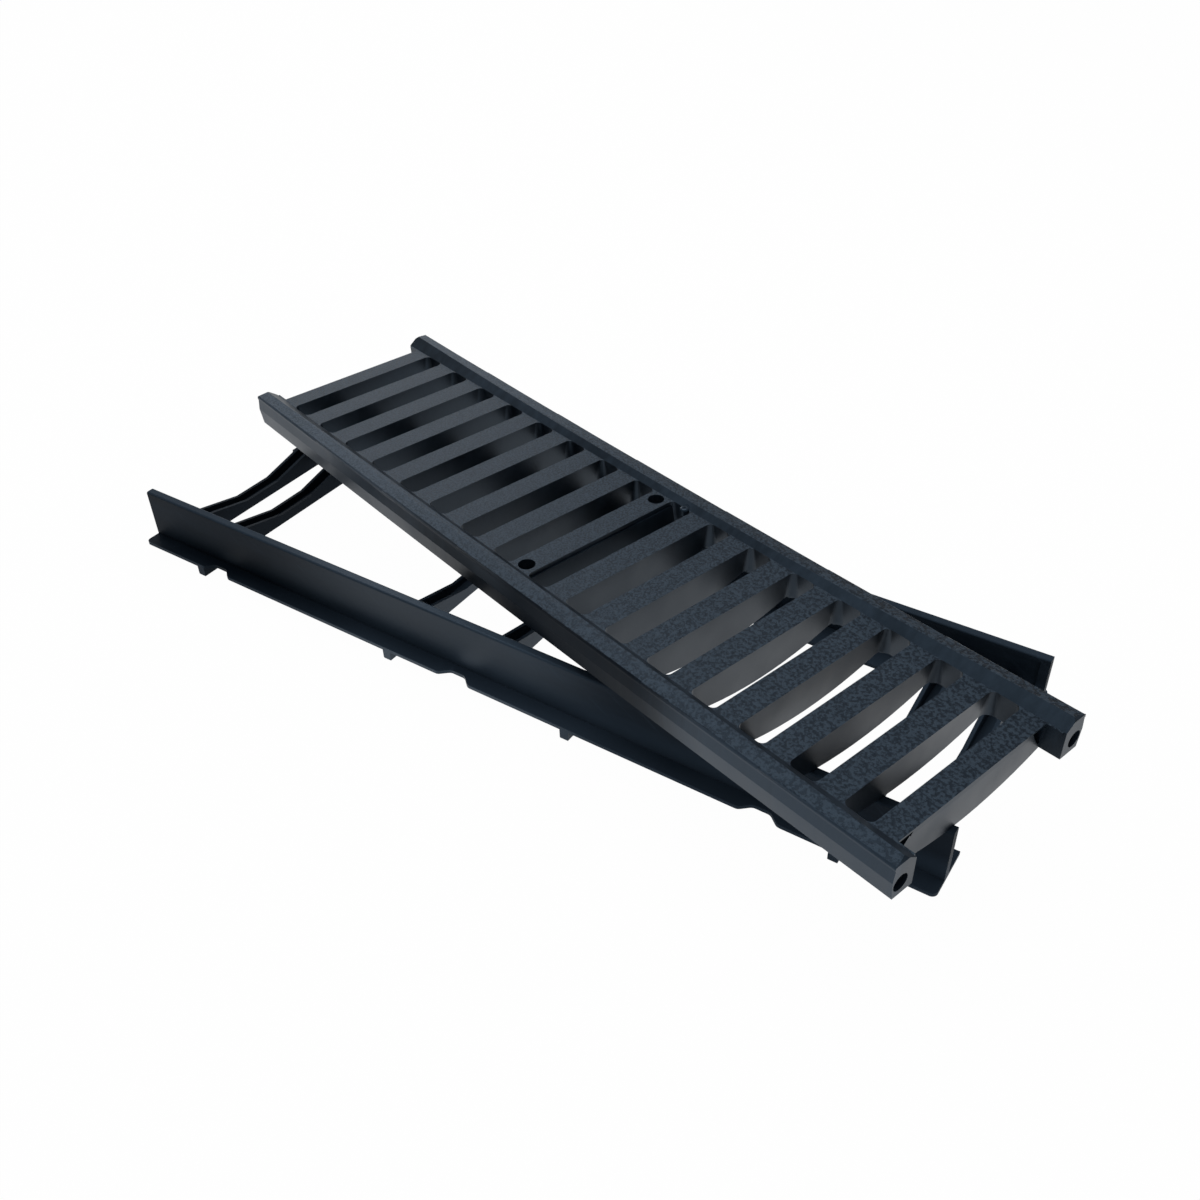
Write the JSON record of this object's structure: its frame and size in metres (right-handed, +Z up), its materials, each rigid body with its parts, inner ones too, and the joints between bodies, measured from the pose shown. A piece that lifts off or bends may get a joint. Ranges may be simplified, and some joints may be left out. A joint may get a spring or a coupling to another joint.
{
  "type": "drain grate with channel frame",
  "caption": "Slotted plastic drain grate lying askew across the walls of the channel frame that it drops into.",
  "frame": {"origin": "centre of the pair's footprint, on the floor under the frame's feet", "axes": "+X along the frame's length, +Y across it towards the side that the grate's right end turns away from, +Z up"},
  "size_m": [0.528, 0.2606, 0.067],
  "materials": {
    "grate_plastic": "finely grained",
    "frame_plastic": "satin"
  },
  "bodies": {
    "root": {"grate": "grate_plastic", "frame": "frame_plastic"}
  },
  "joints": []
}
